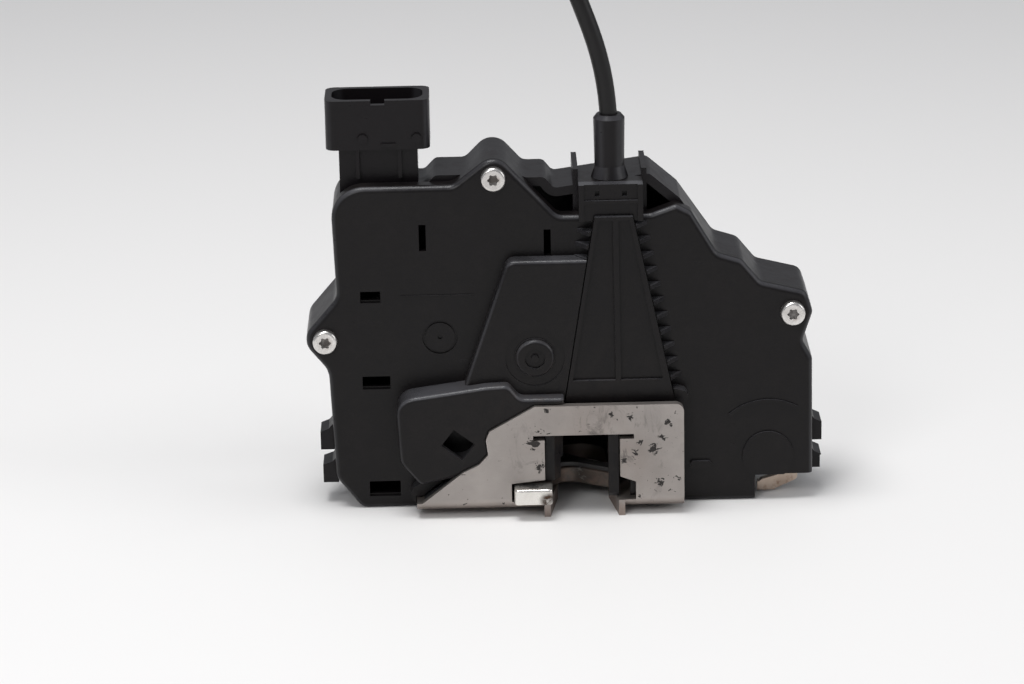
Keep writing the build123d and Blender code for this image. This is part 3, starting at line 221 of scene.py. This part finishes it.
# ---- moulded housing -----------------------------------------------------------------------------
def moulded(name, colour, grain, gloss, dust):
    """Moulded black plastic: spark-eroded grain, cloudy gloss, a painted highlight on the rolled
    edges (paler still where they face up) and on the up-facing ledges in front of the main face,
    brown road dust round the striker's mouth, and fine dust and pale specks that lie thickest on
    the faces that look up."""
    f = Finish(name)
    cloud = f.noise(55.0, 4.0, 0.6)
    fine = f.noise(900.0, 2.0, 0.5)
    up = f.facing("Z").above(0.15, 0.8)
    front = f.facing("Y") * -1.0
    # painted highlight on rolled edges that face partly forward, stronger where they face up
    rolled = front.above(0.22, 0.25) * (1.0 - front.above(0.84, 0.12)) * (up * 0.65 + 0.35)
    # painted highlight on up-facing faces that stand in front of the cover's main face
    ledge_highlight = up * (1.0 - f.along("Y").above(COVER_FACE - 0.0002, 0.0002))
    highlight_mask = (rolled + ledge_highlight * 0.9).clamped()
    film = f.noise(210.0, 6.0, 0.72, 0.4).above(0.47, 0.28) * (up * 0.7 + 0.25) * dust
    specks = f.dots(640.0, 0.045, 0.05) * f.noise(120.0, 2.0).above(0.55, 0.1)
    specks = specks * (up * 0.5 + 0.06) * dust
    tint = f.mix(cloud, shade(colour, 0.72), shade(colour, 1.35))
    tint = f.mix(film * 0.10, tint, PALE_DUST)
    tint = f.mix(specks * 0.35, tint, shade(PALE_DUST, 1.8))
    # painted highlight: rolled edges and ledge tops mixed towards a paler grey, cloudy in strength
    tint = f.mix(highlight_mask * (cloud.above(0.25, 0.4) * 0.5 + 0.25), tint, PAINTED_EDGE_HIGHLIGHT)
    mouth = f.ball(MOUTH_DUST, 0.012, 0.030) * (1.0 - front.above(0.80, 0.15) * 0.8)
    grime = mouth * f.noise(330.0, 6.0, 0.7, 0.3).above(0.42, 0.22)
    tint = f.mix(grime * dust * 0.30, tint, ROAD_DUST)
    scuff = f.noise(140.0, 5.0, 0.7, 0.6, at=f.stretched((1.0, 1.0, 3.5))).above(0.62, 0.10)
    rough = (cloud - 0.5) * 0.16 + gloss + film * 0.16 - scuff * 0.08 - highlight_mask * 0.07
    f.set(Base_Color=tint, Roughness=rough, Specular_IOR_Level=0.21)
    f.bump(fine * 0.5 + f.noise(2600.0, 1.0) * 0.7, grain)
    return f


moulded("cover_plastic", COVER_BLACK, 0.00003, 0.33, 1.0).dress(
    "front_cover", "cable_flap", "latch_block")
moulded("tray_plastic", TRAY_BLACK, 0.000025, 0.34, 0.7).dress("rear_housing")
moulded("socket_plastic", TRAY_BLACK, 0.00002, 0.33, 0.35).dress(
    "connector_socket", "cable_ferrule", "sheath_end")
moulded("carrier_plastic", CARRIER_GREY, 0.00003, 0.5, 0.3).dress("lead_frame", "latch_switch")


def plain_moulding(name, colour, rough, speckle=0.2):
    """Plain inner moulding or rubber: soft clouds and a fine grain."""
    f = Finish(name)
    cloud = f.noise(180.0, 4.0, 0.6)
    tint = f.mix(cloud, shade(colour, 1.0 - speckle), shade(colour, 1.0 + speckle))
    f.set(Base_Color=tint, Roughness=(cloud - 0.5) * 0.15 + rough)
    f.bump(f.noise(1800.0, 2.0), 0.00004)
    return f


plain_moulding("claw_overmould", CLAW_COVER_BLACK, 0.5).dress("claw_jacket")
plain_moulding("bumper_rubber", BUMPER_BLACK, 0.75).dress("striker_bumper")
plain_moulding("natural_nylon", NYLON_CREAM, 0.45, 0.08).dress("worm_wheel", "lock_lever")


# ---- steel and brass -----------------------------------------------------------------------------
def greased_plate():
    """Zinc-plated sheet: brush marks, black grease flecks and blots thrown round the slot, a
    brown film by the mouth, and a darker red-brown band along the foot."""
    f = Finish("greased_zinc")
    lines = f.noise(700.0, 3.0, 0.6, at=f.stretched((1.0, 1.0, 7.0)))
    cloud = f.noise(90.0, 5.0, 0.62)
    mouth = f.ball(MOUTH_GREASE, 0.006, 0.016)
    right = f.ball(RIGHT_GREASE, 0.004, 0.010)
    blots = 0.0
    for across, rise, reach in GREASE_BLOTS:
        centre = (across * MM, FLANGE_FACE, rise * MM)
        blots = f.ball(centre, reach * 0.2 * MM, reach * 1.2 * MM) + blots
    grains = f.noise(480.0, 5.0, 0.62, 1.4, at=f.stretched((1.0, 1.0, 1.3)))
    flecks = (grains + blots.clamped() * 0.215 + right * 0.010).above(0.662, 0.02)
    smear = f.noise(210.0, 7.0, 0.7, 1.2, at=f.stretched((1.0, 1.0, 0.45))).above(0.56, 0.10)
    smear = smear * (mouth * 0.75 + right * 0.15)
    film = mouth * 0.55 * f.noise(60.0, 4.0).above(0.35, 0.3)
    film = (film + f.along("Y").above(-0.0315, 0.002) * 0.55).clamped()
    # darker red-brown towards the bottom, over the lowest 2.5 mm of the plate
    foot = (1.0 - f.along("Z").above(0.0, 0.0025)) * 0.35
    dirt = (smear * 0.85 + flecks).clamped()
    tint = f.mix(cloud.above(0.3, 0.4), shade(ZINC, 0.78), ZINC)
    tint = f.mix(film * 0.75, tint, BROWN_FILM)
    tint = f.mix(foot, tint, FOOT_RED_BROWN)
    tint = f.mix(dirt, tint, BLACK_GREASE)
    rough = (lines - 0.5) * 0.12 + (cloud - 0.5) * 0.12 + 0.43 + dirt * 0.06 + film * 0.1
    f.set(Base_Color=tint, Metallic=0.88 - dirt * 0.85 - film * 0.3, Roughness=rough)
    f.bump(lines * 0.4 + dirt * 0.8 + f.noise(300.0, 3.0) * 0.3, 0.00006)
    return f


def worn_claw():
    """Polished claw: mirror-bright where the striker runs, a brown patch on the tip of the first
    leg and dull bronze grease on the second."""
    f = Finish("worn_claw_steel")
    lines = f.noise(800.0, 3.0, 0.6, at=f.stretched((1.0, 1.0, 6.0)))
    cloud = f.noise(240.0, 5.0, 0.65, 0.5)
    inner = f.along("Y").above(CLAW_LEG_BACK, 0.0015)
    patch = f.ball(CLAW_PATCH, 0.0012, 0.0013) * cloud.above(0.34, 0.16)
    crown = f.facing("Z").above(0.5, 0.3) * (1.0 - inner) * cloud.above(0.40, 0.2) * 0.5
    grease = (inner * cloud.above(0.10, 0.3) * 0.92 + patch + crown).clamped()
    tint = f.mix(cloud.above(0.3, 0.5), *BRIGHT_CLAW)
    tint = f.mix(grease, tint, f.mix(cloud.above(0.42, 0.2), *BRONZE_GREASE))
    rough = (lines - 0.5) * 0.1 + 0.24 + grease * 0.22
    f.set(Base_Color=tint, Metallic=0.96 - grease * 0.35, Roughness=rough)
    f.bump(lines * 0.5 + grease * 0.6, 0.00004)
    return f


def screw_heads():
    """Bright zinc pan heads: oily dirt in the six-lobe recess and a brown tide line round it."""
    f = Finish("screw_zinc")
    cloud = f.noise(420.0, 4.0, 0.6)
    near = 0.0
    for centre in SCREW_FACES:
        near = f.ball(centre, 0.00145, 0.0006) + near
    near = near.clamped()
    head_face = SCREW_FACES[0][1]
    dirt = near * f.along("Y").above(head_face + 0.0002, 0.0004)
    tint = f.mix(cloud.above(0.35, 0.4), *BRIGHT_SCREW)
    tint = f.mix(near * cloud.above(0.45, 0.2) * 0.45, tint, SCREW_TIDE)
    tint = f.mix(dirt * (cloud.above(0.36, 0.2) * 0.35 + 0.55), tint, RECESS_DIRT)
    rough = (cloud - 0.5) * 0.12 + 0.27 + dirt * 0.3
    f.set(Base_Color=tint, Metallic=0.95 - dirt * 0.8, Roughness=rough)
    f.bump(cloud, 0.00003, 0.5)
    return f


def stained_lever():
    """Release lever: pale zinc with a copper-brown stain along its foot."""
    f = Finish("stained_zinc")
    lines = f.noise(700.0, 3.0, 0.6, at=f.stretched((5.0, 1.0, 1.0)))
    cloud = f.noise(150.0, 3.0, 0.5)
    specks = f.noise(620.0, 4.0, 0.62)
    foot = 1.0 - f.along("Z").above(0.0008, 0.0030)
    stain = cloud.above(0.44, 0.22) * 0.6 + specks.above(0.52, 0.14) * 0.5
    stain = (stain * (foot * 0.65 + 0.25)).clamped()
    tint = f.mix(cloud.above(0.3, 0.4), *LEVER_ZINC)
    tint = f.mix(stain * 0.85, tint, COPPER_STAIN)
    rough = (lines - 0.5) * 0.12 + 0.34 + stain * 0.2
    f.set(Base_Color=tint, Metallic=0.92 - stain * 0.45, Roughness=rough)
    f.bump(lines, 0.00004, 0.6)
    return f


def bright_metal(name, colour, rough):
    """Rolled or turned metal: fine marks, cloudy plating and small dark pits."""
    f = Finish(name)
    lines = f.noise(900.0, 3.0, 0.6)
    cloud = f.noise(120.0, 5.0, 0.6)
    pits = f.dots(700.0, 0.05, 0.06)
    tint = f.mix(cloud.above(0.35, 0.35), shade(colour, 0.80), colour)
    tint = f.mix(pits * 0.5, tint, DARK_STEEL)
    f.set(Base_Color=tint, Metallic=0.95, Roughness=(lines - 0.5) * 0.14 + rough + pits * 0.1)
    f.bump(lines, 0.00003, 0.5)
    return f


greased_plate().dress("face_plate", "bridge_plate")
worn_claw().dress("claw")
screw_heads().dress("housing_screws")
stained_lever().dress("outside_lever")
bright_metal("zinc_collar", ZINC, 0.35).dress(
    "fixing_collars", "claw_pin", "pawl_pin", "lever_pins", "lock_motor")
bright_metal("phosphated_steel", DARK_STEEL, 0.42).dress("pawl", "motor_worm", "inside_lever")
bright_metal("spring_wire", SPRING_STEEL, 0.33).dress(
    "claw_spring", "pawl_spring", "inside_spring", "outside_spring",
    "wire_latch_end", "wire_handle_end")
bright_metal("tinned_brass", TINNED_BRASS, 0.28).dress("terminal_blades")

# ---- inside-handle cable -------------------------------------------------------------------------
ROUTE = [                                 # the conduit's control points, in millimetres
    (7.4, -20.5, 90.4), (7.4, -20.5, 98.0), (5.4, -20.5, 110.8), (0.8, -20.3, 124.1),
    (-6.5, -19.6, 142.0), (-16.0, -18.6, 166.0), (-26.0, -17.4, 190.0), (-42.7, -16.0, 213.0),
    (-69.7, -14.6, 221.8), (-96.7, -13.2, 213.0), (-113.4, -11.8, 190.0), (-113.4, -10.4, 161.6),
    (-96.7, -9.0, 138.6), (-69.7, -7.6, 129.8), (-42.7, -6.2, 138.6), (-30.0, -5.0, 156.0)]
SHEATH_RADIUS = 0.00212


def sheath_finish():
    """Extruded black sheath: satin, cloudy, with a fine grain."""
    f = Finish("sheath_rubber")
    cloud = f.noise(150.0, 4.0, 0.6)
    tint = f.mix(cloud, shade(SHEATH_BLACK, 0.8), shade(SHEATH_BLACK, 1.5))
    f.set(Base_Color=tint, Roughness=(cloud - 0.5) * 0.12 + 0.42, Specular_IOR_Level=0.30)
    f.bump(f.noise(1500.0, 2.0), 0.00003)
    return f.material


line = bpy.data.curves.new("cable_sheath_line", "CURVE")
line.dimensions = "3D"
spline = line.splines.new("NURBS")
spline.points.add(len(ROUTE) - 1)
spline.points.foreach_set("co", np.c_[np.array(ROUTE) / 1000.0, np.ones(len(ROUTE))].ravel())
spline.order_u = 3
spline.use_endpoint_u = True
line.resolution_u = 12
line.bevel_depth = SHEATH_RADIUS
line.bevel_resolution = 6
line.use_fill_caps = True
line.materials.append(sheath_finish())
sheath = bpy.data.objects.new("cable_sheath_skin", line)
bpy.context.collection.objects.link(sheath)
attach(sheath, "housing")
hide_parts("cable_sheath")

# ---- floor, light and camera ---------------------------------------------------------------------
FLOOR_REACH = 3.0
LAMP_TARGET = (0, 0, 0.04)
LAMPS = (                                 # name, place, width, power in watts
    ("top_box", (-0.15, -0.10, 0.95), 0.42, 7.0),
    ("front_box", (-0.45, -0.95, 0.75), 0.45, 3.6),
    ("right_box", (0.85, -0.25, 0.45), 0.5, 1.8))
SKY_STRENGTH = 0.34
CAMERA_PLACE = (-0.02508, -0.95257, 0.34190)
ELEVATION, YAW, ROLL = math.radians(18.0), math.radians(0.5), math.radians(1.1)
FOCAL_LENGTH, SENSOR_WIDTH = 140.625, 36.0          # millimetres

scene = bpy.context.scene
ground = cad_box[0][2]
corners = [(x * FLOOR_REACH, y * FLOOR_REACH, ground)
           for x, y in ((-1, -1), (1, -1), (1, 1), (-1, 1))]
floor_sheet = bpy.data.meshes.new("floor_sheet")
floor_sheet.from_pydata(corners, [], [(0, 1, 2, 3)])
floor = bpy.data.objects.new("floor", floor_sheet)
bpy.context.collection.objects.link(floor)
pale = Finish("pale_floor")
pale.set(Base_Color=FLOOR_WHITE, Roughness=0.6)
floor_sheet.materials.append(pale.material)

scene.world = bpy.data.worlds.new("studio")
scene.world.use_nodes = True
sky = scene.world.node_tree.nodes["Background"]
sky.inputs["Color"].default_value = SKY_WHITE
sky.inputs["Strength"].default_value = SKY_STRENGTH

for name, place, width, power in LAMPS:
    lamp = bpy.data.lights.new(name, "AREA")
    lamp.size, lamp.energy = width, power
    holder = bpy.data.objects.new(name, lamp)
    holder.location = place
    holder.rotation_mode = "QUATERNION"
    aim = Vector(LAMP_TARGET) - Vector(place)
    holder.rotation_quaternion = aim.to_track_quat("-Z", "Y")
    bpy.context.collection.objects.link(holder)

look = Vector((math.sin(YAW) * math.cos(ELEVATION), math.cos(YAW) * math.cos(ELEVATION),
               -math.sin(ELEVATION)))
level = Vector((math.cos(YAW), -math.sin(YAW), 0.0))
rise = level.cross(look)
right = level * math.cos(ROLL) - rise * math.sin(ROLL)
up = rise * math.cos(ROLL) + level * math.sin(ROLL)
turn = Matrix((right, up, -look)).transposed().to_4x4()
lens = bpy.data.cameras.new("camera")
lens.lens, lens.sensor_width = FOCAL_LENGTH, SENSOR_WIDTH
camera = bpy.data.objects.new("camera", lens)
camera.matrix_world = Matrix.Translation(CAMERA_PLACE) @ turn
bpy.context.collection.objects.link(camera)
scene.camera = camera
scene.view_settings.view_transform = "Standard"
